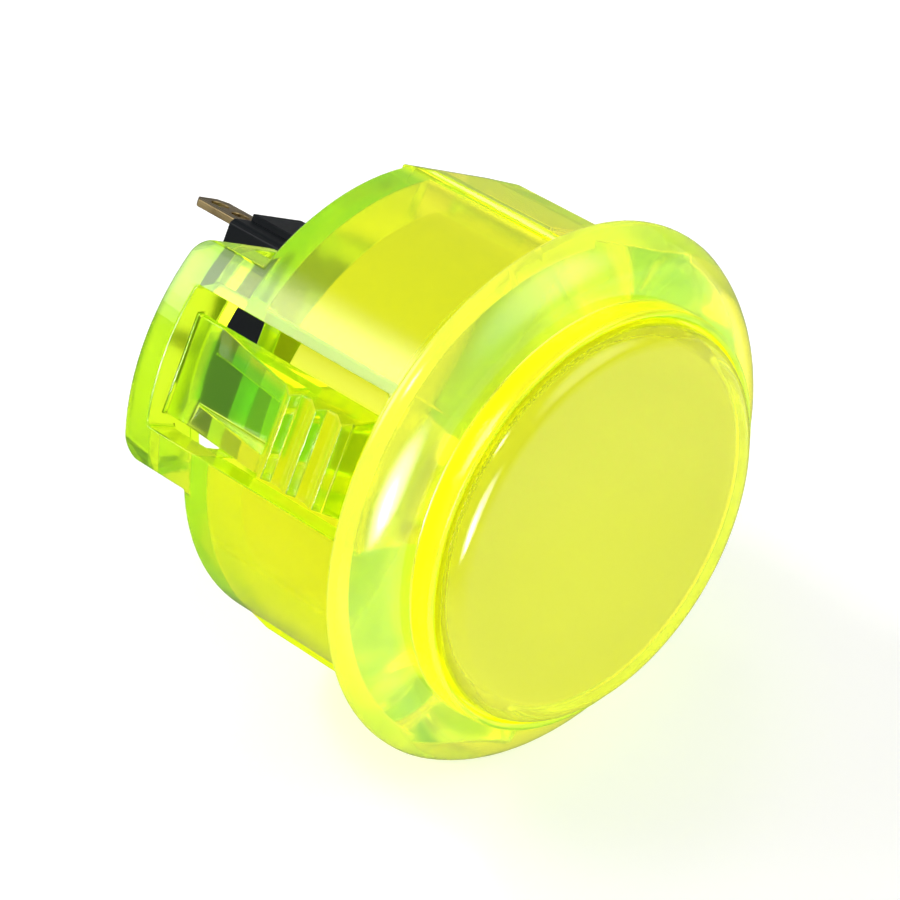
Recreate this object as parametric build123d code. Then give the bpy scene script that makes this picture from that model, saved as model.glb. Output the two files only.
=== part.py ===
"""Snap-in arcade push button for a 30 mm panel hole: clear housing, two-piece plunger and microswitch.

Millimetres. +Z points out of the panel along the press axis. The origin is on that axis, in the panel's
front plane, where the underside of the rim sits.
"""
from build123d import *
import os
from math import asin, degrees

# Rim and collar
rim_r = 16.65
rim_height = 2.9
rim_edge = 0.55
rim_edge_chamfer = 0.2
rim_flat = 0.3
collar_height = 1.5
collar_wall = 0.55
collar_chamfer = 0.15

# Barrel, which passes the panel hole
barrel_r = 14.55
barrel_depth = 14.6
barrel_edge_chamfer = 0.6
pad_flat = 14.4
pad_half_width = 3.9
pad_ramp = 2.4
pad_ramp_drop = 0.5

# Wings behind the barrel, with their windows
wing_half_width = 6.8
wing_depth = 19.2
wing_corner_r = 1.2
wing_bar = 1.8
wing_bar_inner_r = 10.4
window_half_width = 4.35
window_front = 1.6
window_corner_r = 0.4
window_floor = 10.6

# Snap latches
latch_half_width = 2.5
latch_base_half_width = 3.1
latch_offset = 0.4
latch_front = 2.2
latch_gap = 0.1
latch_web = 0.45
latch_rise = 15.2
latch_head = 15.1
latch_head_length = 5.6
latch_pocket_half_width = 1.55
latch_pocket_front = 7.5
latch_pocket_corner_r = 0.4
tooth_count = 3
tooth_first = 2.35
tooth_pitch = 2.05
tooth_height = 0.8
tooth_ramp = 1.3
tooth_crest = 0.2
tooth_undercut = 0.1

# Plunger
plunger_r = 12.25
plunger_clearance = 0.15
plunger_rise = 1.1
press_travel = 1.8
cap_edge_r = 1.2
cap_top_wall = 1.5
cap_side_wall = 0.95
cap_height = 8.5
core_clearance = 0.08
core_top_wall = 1.2
core_wall = 1.1
core_edge_chamfer = 0.2
skirt_inset = 0.35
post_r = 2.2
core_rib = 0.9
core_rib_depth = 7.0
core_rib_count = 4
bead_height = 0.16
bead_width = 0.5
bead_rise = 1.3

# Plunger hooks in the barrel's grooves
hook_half_width = 1.9
hook_height = 2.2
hook_stop = 4.2
hook_side_gap = 0.3
hook_tip_gap = 0.15
hook_slot = 0.8
groove_flat = 13.4

# Bulkhead and switch clips
bulkhead_thick = 1.4
bulkhead_hole_r = 2.6
skirt_end_gap = 0.5
rib_thick = 1.0
rib_half_length = 4.6
rib_depth = 3.1
switch_gap = 0.1
clip_thick = 1.2
clip_half_width = 1.8
clip_depth = 5.7
clip_nose = 0.5
clip_nose_height = 0.8

# Switch case
case_half_length = 6.45
cover_half_length = 6.0
case_half_thick = 3.2
case_height = 11.6
case_seam = 1.45
case_end_wall = 0.8
case_side_wall = 1.0
case_front_wall = 1.0
case_rear_wall = 1.6
case_corner_r = 0.4

# Switch actuator and return spring
actuator_r = 1.6
actuator_clearance = 0.15
actuator_lead = 2.3
actuator_flange_r = 2.0
actuator_flange = 0.95
actuator_spigot_r = 0.9
actuator_spigot = 1.3
stop_gap = 0.05
spring_wire_r = 0.15
spring_gap = 0.25
spring_wire_sides = 6
spring_turns = 4
seat_gap = 0.03

# Terminals, rocker and contacts
tab_width = 2.8
tab_thick = 0.45
tab_length = 5.2
tab_chamfer = 0.6
tab_hole_r = 0.6
tab_hole_from_tip = 1.15
tab_hole_pitch = 1.85
common_x = -5.36
open_x = 2.97
rocker_depth = 6.9
rocker_thick = 0.3
rocker_half_width = 1.2
rocker_end_gap = 0.1
pivot_gap = 0.05
pivot_tongue_half_width = 0.5
pivot_tongue = 0.5
pivot_notch_gap = 0.12
contact_x = 4.2
contact_r = 0.8
contact_height = 0.55
contact_gap = 0.8
closed_gap = 0.05
shelf_overhang = 0.2

# Values that follow from the sizes above
bore_r = plunger_r + plunger_clearance
collar_r = bore_r + collar_wall
collar_top = rim_height + collar_height
plunger_top = collar_top + plunger_rise
cap_bottom = plunger_top - cap_height
cap_inner_r = plunger_r - cap_side_wall
core_top = plunger_top - cap_top_wall
core_r = cap_inner_r - core_clearance
skirt_r = plunger_r - skirt_inset
bulkhead_front = barrel_depth - bulkhead_thick
skirt_end = -bulkhead_front + press_travel + skirt_end_gap
switch_seat = -bulkhead_front - bulkhead_thick
case_rear = switch_seat - case_height
actuator_top = switch_seat + actuator_lead
cavity_front = switch_seat - case_front_wall
cavity_rear = case_rear + case_rear_wall
cavity_half_length = case_half_length - case_end_wall
cavity_half_thick = case_half_thick - case_side_wall
rocker_top = switch_seat - rocker_depth
rocker_under = rocker_top - rocker_thick
fixed_contact_top = rocker_under - contact_height - contact_gap
shelf_top = fixed_contact_top - contact_height
tab_tip = case_rear - tab_length
on_base = (Align.CENTER, Align.CENTER, Align.MIN)


def block(x, y, z):
    """Box between two limits on each axis."""
    size = [high - low for low, high in (x, y, z)]
    centre = [(high + low) / 2 for low, high in (x, y, z)]
    return Pos(*centre) * Box(*size)


def rod(radius, z_low, z_high, x=0.0):
    """Round bar along Z."""
    return Pos(x, 0, z_low) * Cylinder(radius, z_high - z_low, align=on_base)


def both_ends(shape):
    """Shape together with its copy half a turn round the press axis."""
    return [shape, Rot(0, 0, 180) * shape]


def housing_shell():
    """Rim, collar and barrel as one turned section."""
    # The rim's dome is one arc that ends level with the flat ring round the collar
    dome_foot = collar_r + rim_flat
    dome_rise = rim_height - rim_edge
    dome_r = ((rim_r - dome_foot) ** 2 + dome_rise**2) / (2 * dome_rise)
    outline = [
        Polyline((bore_r, collar_top - collar_chamfer), (bore_r, -barrel_depth),
                 (barrel_r - barrel_edge_chamfer, -barrel_depth),
                 (barrel_r, -barrel_depth + barrel_edge_chamfer), (barrel_r, 0),
                 (rim_r - rim_edge_chamfer, 0), (rim_r, rim_edge_chamfer), (rim_r, rim_edge)),
        RadiusArc((rim_r, rim_edge), (dome_foot, rim_height), -dome_r),
        Polyline((dome_foot, rim_height), (collar_r, rim_height), (collar_r, collar_top - collar_chamfer),
                 (collar_r - collar_chamfer, collar_top), (bore_r + collar_chamfer, collar_top),
                 (bore_r, collar_top - collar_chamfer)),
    ]
    return revolve(Plane.XZ * make_face(outline), Axis.Z)


def wing_pair():
    """Wing walls that carry the barrel's wall rearwards, each closed by a deep rear bar."""
    reach = wing_depth - bulkhead_front
    face = Pos(0, -wing_depth + reach / 2) * Rectangle(2 * wing_half_width, reach)
    face = fillet(face.vertices().group_by(Axis.Y)[0], wing_corner_r)
    outline = extrude(Plane.XZ * face, barrel_r, both=True)
    wall = rod(barrel_r, -wing_depth, -bulkhead_front) - rod(bore_r, -wing_depth, -bulkhead_front)
    bar = rod(barrel_r, -wing_depth, -wing_depth + wing_bar)
    bar -= rod(wing_bar_inner_r, -wing_depth, -wing_depth + wing_bar)
    return (wall + bar) & outline


def window_cut():
    """Rounded window through one wing, on the +Y side."""
    length = wing_depth - wing_bar - window_front
    face = RectangleRounded(2 * window_half_width, length, window_corner_r)
    face = Pos(0, -window_front - length / 2) * face
    return Pos(0, barrel_r + window_floor, 0) * extrude(Plane.XZ * face, barrel_r, both=True)


def latch():
    """Toothed snap latch of the +Y wing: a tongue that rises from a thin web, hollowed down to the web."""
    under = bore_r + latch_gap
    web_top = under + latch_web
    sunk_z = -wing_depth + wing_bar / 2
    head_z = -latch_front - latch_head_length
    crest = latch_head + tooth_height
    outline = [(under, sunk_z), (web_top, sunk_z), (web_top, -latch_rise), (latch_head, head_z)]
    for i in reversed(range(tooth_count)):
        lock_z = -tooth_first - i * tooth_pitch
        outline += [(latch_head, lock_z - tooth_ramp), (crest, lock_z - tooth_crest), (crest, lock_z),
                    (latch_head, lock_z + tooth_undercut)]
    outline += [(latch_head, -latch_front), (under, -latch_front)]
    tongue = extrude(Plane.YZ * make_face(Polyline(*outline, close=True)), latch_base_half_width, both=True)
    draft = Polyline((-latch_base_half_width, under), (latch_base_half_width, under),
                     (latch_half_width, crest), (-latch_half_width, crest), close=True)
    tongue &= Pos(0, 0, -wing_depth) * extrude(make_face(draft), wing_depth)
    length = latch_rise - latch_pocket_front
    pocket = RectangleRounded(2 * latch_pocket_half_width, length, latch_pocket_corner_r)
    pocket = Pos(0, -latch_pocket_front - length / 2) * pocket
    tongue -= Pos(0, barrel_r + web_top, 0) * extrude(Plane.XZ * pocket, barrel_r, both=True)
    return Pos(-latch_offset, 0, 0) * tongue


def pad():
    """Flat-topped pad of the +X side, outside the plunger's groove."""
    return block((bore_r, pad_flat), (-pad_half_width, pad_half_width), (-barrel_depth, rim_edge))


def pad_trim():
    """What lies outside the +X pad: the space over its flat and over the ramp at its rear end."""
    ramp_foot = pad_flat - pad_ramp_drop
    outline = Polyline((pad_flat, 0), (rim_r, 0), (rim_r, -barrel_depth), (ramp_foot, -barrel_depth),
                       (pad_flat, -barrel_depth + pad_ramp), close=True)
    return extrude(Plane.XZ * make_face(outline), pad_half_width, both=True)


def groove():
    """Guide groove of the +X side, open at the rear and closed at the hook's stop."""
    half = hook_half_width + hook_side_gap
    return block((bore_r - 2 * cap_side_wall, groove_flat), (-half, half), (switch_seat, -hook_stop))


def bulkhead():
    """Cross wall with the actuator's hole, the ribs beside the switch and its two clips."""
    wall = rod(bore_r + collar_wall, switch_seat, -bulkhead_front)
    side = case_half_thick + switch_gap
    parts = []
    rib = block((-rib_half_length, rib_half_length), (side, side + rib_thick),
                (switch_seat - rib_depth, switch_seat))
    parts += both_ends(rib)
    inner = case_half_length + switch_gap
    arm = block((inner, inner + clip_thick), (-clip_half_width, clip_half_width),
                (switch_seat - clip_depth, switch_seat))
    nose = Polyline((inner, -clip_nose_height), (inner - clip_nose, -clip_nose_height / 4),
                    (inner - clip_nose, 0), (inner, 0), close=True)
    nose = extrude(Plane.XZ * make_face(nose), clip_half_width, both=True)
    parts += both_ends(arm + Pos(0, 0, switch_seat - clip_depth + clip_nose_height) * nose)
    for part in parts:
        wall += part
    return wall - rod(bulkhead_hole_r, switch_seat, -bulkhead_front)


def housing():
    """Whole housing: one moulding from the rim to the wings."""
    body = housing_shell() + wing_pair() + bulkhead()
    for end in both_ends(pad()):
        body += end
    for end in both_ends(pad_trim()) + both_ends(groove()) + both_ends(window_cut()):
        body -= end
    for end in both_ends(latch()):
        body += end
    return body


def plunger_cap():
    """Clear cap of the plunger, with the groove that snaps over the core's bead."""
    cap = rod(plunger_r, cap_bottom, plunger_top)
    cap = fillet(cap.edges().group_by(Axis.Z)[-1], cap_edge_r)
    cap -= rod(cap_inner_r, cap_bottom, core_top)
    groove_low = cap_bottom + bead_rise - core_clearance
    return cap - rod(core_r + bead_height + core_clearance, groove_low,
                     cap_bottom + bead_rise + bead_width + core_clearance)


def plunger_core():
    """Inner moulding of the plunger: disc, skirt, post, ribs and two hooked legs."""
    core = rod(core_r, cap_bottom, core_top)
    core = chamfer(core.edges().group_by(Axis.Z)[-1], core_edge_chamfer)
    core += rod(core_r + bead_height, cap_bottom + bead_rise, cap_bottom + bead_rise + bead_width)
    core += rod(skirt_r, skirt_end, cap_bottom)
    inner_r = core_r - core_wall
    ceiling = core_top - core_top_wall
    core -= rod(inner_r, skirt_end, ceiling)
    core += rod(post_r, actuator_top, ceiling)
    rib = block((0, inner_r + core_wall / 2), (-core_rib / 2, core_rib / 2),
                (ceiling - core_rib_depth, ceiling))
    for i in range(core_rib_count):
        core += Rot(0, 0, (i + 0.5) * 360 / core_rib_count) * rib
    tip = groove_flat - hook_tip_gap
    root = inner_r + core_wall / 2
    hook = Polyline((root, -hook_stop), (tip, -hook_stop), (tip, -hook_stop - hook_height / 3),
                    (root, -hook_stop - hook_height), close=True)
    hook = extrude(Plane.XZ * make_face(hook), hook_half_width, both=True)
    slot_top = cap_bottom - hook_slot
    slot = block((0, plunger_r), (hook_half_width, hook_half_width + hook_slot), (skirt_end, slot_top))
    slot -= rod(inner_r - core_wall, skirt_end, slot_top)
    for end in both_ends(slot) + both_ends(mirror(slot, Plane.XZ)):
        core -= end
    for end in both_ends(hook):
        core += end
    return core


def terminal_slot(x):
    """Slot of one terminal through the rear wall of the case, open at the seam."""
    half = tab_thick / 2
    return block((x - half, x + half), (-case_seam, tab_width / 2), (case_rear, cavity_rear))


def case_cavity():
    """Space inside the switch, shared by the case and its cover."""
    return block((-cavity_half_length, cavity_half_length), (-cavity_half_thick, cavity_half_thick),
                 (cavity_rear, cavity_front))


def actuator_hole():
    """Guide hole of the actuator in the front wall of the switch."""
    return rod(actuator_r + actuator_clearance, cavity_front, switch_seat)


def switch_case():
    """Deep half of the switch, with the notches that the housing's clips enter."""
    case = block((-case_half_length, case_half_length), (-case_seam, case_half_thick),
                 (case_rear, switch_seat))
    edges = case.edges().filter_by(Axis.Z).group_by(Axis.Y)[-1]
    case = fillet(edges, case_corner_r)
    case -= case_cavity()
    case -= actuator_hole()
    for x in (common_x, open_x):
        case -= terminal_slot(x)
    notch_low = switch_seat - clip_depth - switch_gap
    notch_high = switch_seat - clip_depth + clip_nose_height + switch_gap
    notch = block((case_half_length - clip_nose, 2 * case_half_length),
                  (-case_half_thick, clip_half_width + switch_gap), (notch_low, notch_high))
    for end in (notch, mirror(notch, Plane.YZ)):
        case -= end
    return case


def switch_cover():
    """Shallow half of the switch, which closes the case along the seam."""
    cover = block((-cover_half_length, cover_half_length), (-case_half_thick, -case_seam),
                  (case_rear, switch_seat))
    edges = cover.edges().filter_by(Axis.Z).group_by(Axis.Y)[0]
    cover = fillet(edges, case_corner_r)
    reach = min(cavity_half_length, cover_half_length - case_end_wall)
    cover -= block((-reach, reach), (-cavity_half_thick, -case_seam), (cavity_rear, cavity_front))
    return cover - actuator_hole()


def switch_actuator():
    """Pin that the plunger's post pushes, with its stop flange and the spring's spigot."""
    flange_top = cavity_front - stop_gap
    flange_low = flange_top - actuator_flange
    pin = rod(actuator_r, flange_top, actuator_top)
    flange = rod(actuator_flange_r, flange_low, flange_top)
    return pin + flange + rod(actuator_spigot_r, flange_low - actuator_spigot, flange_low)


def return_spring():
    """Coil spring between the actuator's flange and the rocker."""
    high = cavity_front - stop_gap - actuator_flange - seat_gap - spring_wire_r
    low = rocker_top + seat_gap + spring_wire_r
    coil_r = actuator_spigot_r + spring_gap + spring_wire_r
    path = Pos(0, 0, low) * Helix(pitch=(high - low) / spring_turns, height=high - low, radius=coil_r)
    section = Plane(origin=path @ 0, z_dir=path % 0) * RegularPolygon(spring_wire_r, spring_wire_sides)
    return sweep(section, path=path)


def terminal_tab(x, z_high):
    """Blade of one terminal from its chamfered tip up to a height inside the case."""
    length = z_high - tab_tip
    face = Pos(0, tab_tip + length / 2) * Rectangle(tab_width, length)
    face = chamfer(face.vertices().group_by(Axis.Y)[0], tab_chamfer)
    for i in range(2):
        face -= Pos(0, tab_tip + tab_hole_from_tip + i * tab_hole_pitch) * Circle(tab_hole_r)
    return Pos(x, 0, 0) * extrude(Plane.YZ * face, tab_thick / 2, both=True)


def common_terminal():
    """Terminal that carries the rocker on its narrow pivot tongue."""
    top = rocker_under - pivot_gap
    half = tab_thick / 2
    tongue = block((common_x - half, common_x + half), (-pivot_tongue_half_width, pivot_tongue_half_width),
                   (top, rocker_top + pivot_tongue))
    return terminal_tab(common_x, top) + tongue


def open_terminal():
    """Terminal that is bent to a shelf under the fixed contact."""
    shelf = block((open_x - tab_thick / 2, contact_x + contact_r + shelf_overhang),
                  (-tab_width / 2, tab_width / 2), (shelf_top - tab_thick, shelf_top))
    return terminal_tab(open_x, shelf_top) + shelf


def contact_rocker():
    """Contact lever with the notch that sits over the common terminal's tongue."""
    end = contact_x + contact_r + shelf_overhang
    lever = block((-cavity_half_length + rocker_end_gap, end), (-rocker_half_width, rocker_half_width),
                  (rocker_under, rocker_top))
    notch_end = common_x + tab_thick / 2 + pivot_notch_gap
    notch_half_width = pivot_tongue_half_width + pivot_notch_gap
    return lever - block((-case_half_length, notch_end), (-notch_half_width, notch_half_width),
                         (rocker_under, rocker_top))


def moving_contact():
    """Contact rivet under the end of the rocker."""
    return rod(contact_r, rocker_under - contact_height, rocker_under, contact_x)


def fixed_contact():
    """Contact rivet on the open terminal's shelf."""
    return rod(contact_r, shelf_top, fixed_contact_top, contact_x)


def main():
    """Build each piece, write it to its own file and print the rocker's closing angle."""
    pieces = (housing, plunger_cap, plunger_core, switch_case, switch_cover, switch_actuator, return_spring,
              common_terminal, open_terminal, contact_rocker, moving_contact, fixed_contact)
    os.makedirs("parts", exist_ok=True)
    for piece in pieces:
        export_step(piece(), f"parts/{piece.__name__}.step")
    closing = asin((contact_gap - closed_gap) / (contact_x + contact_r - common_x))
    print("rocker closing angle", round(degrees(closing), 3), "degrees over", press_travel, "mm")


main()
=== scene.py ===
"""Looks of a clear snap-in arcade push button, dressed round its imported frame.

Metres, in the frame's own axes: +Z points out of the panel along the press axis, the latch wings lie along Y
and the flat pads along X.
"""
import logging
import math
from dataclasses import dataclass
from enum import Enum

import bmesh
import bpy
from bmesh.types import BMesh, BMFace, BMVert
from bpy.types import ID, Material, Mesh, Node, NodeSocket, NodeTree, Object, bpy_prop_collection
from mathutils import Matrix, Vector
from mathutils.bvhtree import BVHTree
from mathutils.kdtree import KDTree


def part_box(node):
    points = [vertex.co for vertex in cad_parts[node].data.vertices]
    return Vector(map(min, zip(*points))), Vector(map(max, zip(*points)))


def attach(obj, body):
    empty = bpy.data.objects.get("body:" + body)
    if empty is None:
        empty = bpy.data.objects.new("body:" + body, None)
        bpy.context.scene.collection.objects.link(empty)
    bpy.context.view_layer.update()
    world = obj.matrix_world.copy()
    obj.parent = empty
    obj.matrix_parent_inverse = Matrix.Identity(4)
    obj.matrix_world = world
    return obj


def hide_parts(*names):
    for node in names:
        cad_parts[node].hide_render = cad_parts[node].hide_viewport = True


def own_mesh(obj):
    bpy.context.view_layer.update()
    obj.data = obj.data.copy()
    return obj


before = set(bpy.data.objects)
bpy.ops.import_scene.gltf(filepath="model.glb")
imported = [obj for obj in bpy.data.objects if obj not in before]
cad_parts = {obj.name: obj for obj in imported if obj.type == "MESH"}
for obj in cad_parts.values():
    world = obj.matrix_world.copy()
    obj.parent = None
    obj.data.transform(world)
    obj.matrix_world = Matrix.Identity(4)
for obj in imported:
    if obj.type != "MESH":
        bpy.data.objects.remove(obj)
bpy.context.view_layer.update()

LOG = logging.getLogger("push_button")
MM = 0.001
PAST_RIM = 17.0 * MM
SMOOTH_ANGLE = math.radians(32)
WHITE = (1.0, 1.0, 1.0)
NOISE_MIDDLE = 0.5
Triple = tuple[float, float, float]
Range = tuple[float, float]

# Places of the sockets of a Mix node that blends colours
MIX_SHARE = 0
MIX_FIRST = 6
MIX_SECOND = 7
MIX_RESULT = 2


class Body(Enum):
    """Bodies of the frame that new pieces ride on."""

    BUTTON = "button_body"
    PLUNGER = "plunger"


class Slot(Enum):
    """Material slots of the record for new pieces."""

    CLEAR_TINT = "clear_tint"
    CLEAR_CAP = "clear_cap"
    CORE = "core_plastic"
    SWITCH = "switch_black"
    BRASS = "terminal_brass"
    SPRING = "spring_steel"


class Effect(Enum):
    """Surface effects that several finishes share, each a shader node group."""

    MOULD_SKIN = "mould_skin"
    HANDLING = "handling_marks"
    ROLLED = "rolled_metal"


class LightUse(Enum):
    """What a studio light is for."""

    BOTH = "lights the scene and shows in shiny faces"
    LIGHTS = "lights the scene only"
    SHOWS = "shows in shiny faces only"


class NodeSheet:
    """Shorthand for filling a node tree."""

    def __init__(self, tree: NodeTree) -> None:
        """Start on an emptied tree."""
        self.tree = tree
        tree.nodes.clear()

    def add(self, kind: str, **values: object) -> Node:
        """Add a node and set its properties.

        Args:
            kind: the node's type name.
            values: properties of the node by name.

        Returns:
            The new node.
        """
        node = self.tree.nodes.new(kind)
        for name, value in values.items():
            setattr(node, name, value)
        return node

    def put(self, socket: NodeSocket, value: object) -> None:
        """Set an input socket, or link another node's socket to it.

        Args:
            socket: the input socket.
            value: a plain value, or the output socket to link.
        """
        if isinstance(value, NodeSocket):
            self.tree.links.new(value, socket)
        else:
            socket.default_value = value

    def fill(self, node: Node, **values: object) -> Node:
        """Set input sockets of a node by name, with spaces written as underscores.

        Args:
            node: the node whose sockets are set.
            values: values or other nodes' sockets.

        Returns:
            The same node.
        """
        for name, value in values.items():
            self.put(node.inputs[name.replace("_", " ")], value)
        return node

    def fill_in_order(self, node: Node, *terms: object) -> NodeSocket:
        """Set the input sockets of a node in their order.

        Args:
            node: the node whose sockets are set.
            terms: values or sockets.

        Returns:
            The node's first output.
        """
        for socket, term in zip(node.inputs, terms):
            self.put(socket, term)
        return node.outputs[0]

    def math(self, operation: str, *terms: object, clamp: bool = False) -> NodeSocket:
        """Add a Math node with its terms in order and, with clamp, its result kept between 0 and 1."""
        return self.fill_in_order(self.add("ShaderNodeMath", operation=operation, use_clamp=clamp), *terms)

    def ramp(self, value: NodeSocket, low: float, high: float, to_low: float = 0.0,
             to_high: float = 1.0) -> NodeSocket:
        """Map one range of a value smoothly onto another.

        Args:
            value: the value's socket.
            low: where the range starts.
            high: where it ends.
            to_low: the result at the start.
            to_high: the result at the end.

        Returns:
            The result's socket.
        """
        node = self.add("ShaderNodeMapRange", interpolation_type="SMOOTHSTEP")
        self.fill(node, Value=value, From_Min=low, From_Max=high, To_Min=to_low, To_Max=to_high)
        return node.outputs["Result"]

    def place(self) -> NodeSocket:
        """Socket of the Object coordinates."""
        return self.add("ShaderNodeTexCoord").outputs["Object"]

    def axes(self) -> bpy_prop_collection:
        """Sockets X, Y and Z of the Object coordinates."""
        return self.fill(self.add("ShaderNodeSeparateXYZ"), Vector=self.place()).outputs

    def noise(self, place: NodeSocket, scale: NodeSocket, detail: float) -> NodeSocket:
        """Add a Noise texture.

        Args:
            place: the coordinate's socket.
            scale: its scale's socket, in waves a metre.
            detail: how many finer layers it has.

        Returns:
            The noise value's socket.
        """
        node = self.add("ShaderNodeTexNoise")
        self.fill(node, Vector=place, Scale=scale, Detail=detail)
        return node.outputs[0]

    def mix_colour(self, share: NodeSocket, first: Triple | NodeSocket, second: Triple) -> NodeSocket:
        """Blend two colours.

        Args:
            share: how much of the second shows.
            first: the first colour, or its socket.
            second: the second colour.

        Returns:
            The blended colour's socket.
        """
        node = self.add("ShaderNodeMix", data_type="RGBA")
        self.put(node.inputs[MIX_SHARE], share)
        self.put(node.inputs[MIX_FIRST], first if isinstance(first, NodeSocket) else rgba(first))
        self.put(node.inputs[MIX_SECOND], rgba(second))
        return node.outputs[MIX_RESULT]


def rgba(colour: Triple) -> tuple[float, float, float, float]:
    """Colour with an opaque alpha."""
    return (*colour, 1.0)


class EffectSheet(NodeSheet):
    """Node sheet of a new shader group, with its named inputs and its output."""

    def __init__(self, effect: Effect, sizes: tuple[str, ...], results: tuple[str, ...]) -> None:
        """Make the group.

        Args:
            effect: the effect that the group makes.
            sizes: names of its inputs.
            results: names of its outputs.
        """
        tree = bpy.data.node_groups.new(effect.value, "ShaderNodeTree")
        for way, names in (("INPUT", sizes), ("OUTPUT", results)):
            for name in names:
                tree.interface.new_socket(name, in_out=way, socket_type="NodeSocketFloat")
        super().__init__(tree)
        self.source = self.add("NodeGroupInput").outputs
        self.out = self.add("NodeGroupOutput")

    def roughness(self, pattern: NodeSocket) -> NodeSocket:
        """Let the group's roughness follow a pattern from 0 to 1, as far as its spread."""
        swing = self.math("MULTIPLY", self.math("SUBTRACT", pattern, NOISE_MIDDLE), self.source["Spread"])
        return self.math("ADD", self.source["Roughness"], swing, clamp=True)


@dataclass(frozen=True)
class MouldSkin:
    """Skin of moulded plastic: a fine grain over slow sink waves."""

    grain_detail: float = 3.0
    wave_detail: float = 1.0
    grain_in_roughness: float = 0.4
    grain_in_height: float = 0.12

    def build(self) -> None:
        """Build the effect's shader group."""
        sheet = EffectSheet(Effect.MOULD_SKIN, ("Grain Scale", "Wave Scale", "Roughness", "Spread"),
                            ("Roughness", "Height"))
        place = sheet.place()
        grain = sheet.noise(place, sheet.source["Grain Scale"], self.grain_detail)
        wave = sheet.noise(place, sheet.source["Wave Scale"], self.wave_detail)
        swing, height = (
            sheet.math("MULTIPLY_ADD", grain, share, sheet.math("MULTIPLY", wave, 1.0 - share))
            for share in (self.grain_in_roughness, self.grain_in_height))
        sheet.fill(sheet.out, Roughness=sheet.roughness(swing), Height=height)


@dataclass(frozen=True)
class HandlingMarks:
    """Marks of handling: specks of dust and faint smudges."""

    speck_edge: Range = (0.03, 0.09)
    speck_patch: Range = (0.5, 0.62)
    smudge_patch: Range = (0.48, 0.78)
    smudge_share: float = 0.45
    patch_detail: float = 4.0

    def build(self) -> None:
        """Build the effect's shader group."""
        sheet = EffectSheet(Effect.HANDLING, ("Speck Scale", "Smudge Scale", "Amount"), ("Mask",))
        place = sheet.place()
        cells = sheet.fill(sheet.add("ShaderNodeTexVoronoi"), Vector=place, Scale=sheet.source["Speck Scale"])
        speck = sheet.ramp(cells.outputs["Distance"], *self.speck_edge, 1.0, 0.0)
        patch = sheet.noise(place, sheet.source["Smudge Scale"], self.patch_detail)
        speck = sheet.math("MULTIPLY", speck, sheet.ramp(patch, *self.speck_patch))
        smudge = sheet.math("MULTIPLY", sheet.ramp(patch, *self.smudge_patch), self.smudge_share)
        marks = sheet.math("MAXIMUM", speck, smudge)
        sheet.fill(sheet.out, Mask=sheet.math("MULTIPLY", marks, sheet.source["Amount"], clamp=True))


@dataclass(frozen=True)
class RolledSurface:
    """Surface of rolled sheet or drawn wire: lines along Z and patches of tarnish."""

    stretch: Triple = (1.0, 1.0, 0.03)
    line_detail: float = 2.0
    tarnish_detail: float = 4.0
    tarnish_edge: Range = (0.42, 0.7)

    def build(self) -> None:
        """Build the effect's shader group."""
        sheet = EffectSheet(Effect.ROLLED, ("Line Scale", "Tarnish Scale", "Roughness", "Spread"),
                            ("Roughness", "Height", "Tarnish"))
        place = sheet.place()
        stretched = sheet.fill(sheet.add("ShaderNodeMapping"), Vector=place, Scale=self.stretch)
        line = sheet.noise(stretched.outputs["Vector"], sheet.source["Line Scale"], self.line_detail)
        patch = sheet.noise(place, sheet.source["Tarnish Scale"], self.tarnish_detail)
        sheet.fill(sheet.out, Roughness=sheet.roughness(line), Height=line,
                   Tarnish=sheet.ramp(patch, *self.tarnish_edge))


EFFECTS = {Effect.MOULD_SKIN: MouldSkin(), Effect.HANDLING: HandlingMarks(), Effect.ROLLED: RolledSurface()}


class MaterialSheet(NodeSheet):
    """Node sheet of a new material, with its output and Principled shader."""

    def __init__(self, name: str) -> None:
        """Make the material.

        Args:
            name: the material's name.
        """
        self.material = bpy.data.materials.new(name)
        self.material.use_nodes = True
        super().__init__(self.material.node_tree)
        self.out = self.add("ShaderNodeOutputMaterial")
        self.surface = self.add("ShaderNodeBsdfPrincipled")
        self.fill(self.out, Surface=self.surface.outputs["BSDF"])

    def effect(self, effect: Effect, **values: float) -> Node:
        """Place a shared effect, which is built at its first use.

        Args:
            effect: the effect.
            values: its inputs by name, with spaces written as underscores.

        Returns:
            The group's node.
        """
        if effect.value not in bpy.data.node_groups:
            EFFECTS[effect].build()
        node = self.add("ShaderNodeGroup", node_tree=bpy.data.node_groups[effect.value])
        return self.fill(node, **values)

    def bump(self, height: NodeSocket, distance: float) -> None:
        """Raise the surface by a height.

        Args:
            height: the height's socket, from 0 to 1.
            distance: how far a height of 1 stands up.
        """
        node = self.add("ShaderNodeBump")
        self.fill(node, Strength=1.0, Distance=distance, Height=height)
        self.fill(self.surface, Normal=node.outputs["Normal"])


@dataclass(frozen=True)
class PaintedZone:
    """Zone of a moulding painted in a colour of its own: painted shade in a base colour, painted light in a
    glow.

    It lies `across` X and `out` along Y on both sides, `along` the press axis, and has a soft edge.
    """

    colour: Triple
    across: Range
    along: Range
    edge: float
    out: Range = (0.0, PAST_RIM)

    def blend(self, sheet: MaterialSheet, colour: NodeSocket) -> NodeSocket:
        """Lay the zone's painted colour over another.

        Args:
            sheet: the material's sheet.
            colour: the other colour's socket.

        Returns:
            The socket of the colour with the zone.
        """
        # Painted shade in a base colour, painted light in a glow: the colour is laid over a box by place
        # alone.
        axes = sheet.axes()
        share = 1.0
        for place, (low, high) in ((sheet.math("ABSOLUTE", axes["X"]), self.across),
                                   (sheet.math("ABSOLUTE", axes["Y"]), self.out), (axes["Z"], self.along)):
            above = sheet.ramp(place, low - self.edge, low)
            below = sheet.ramp(place, high, high + self.edge, 1.0, 0.0)
            share = sheet.math("MULTIPLY", sheet.math("MULTIPLY", above, below), share)
        return sheet.mix_colour(share, colour, self.colour)


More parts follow.
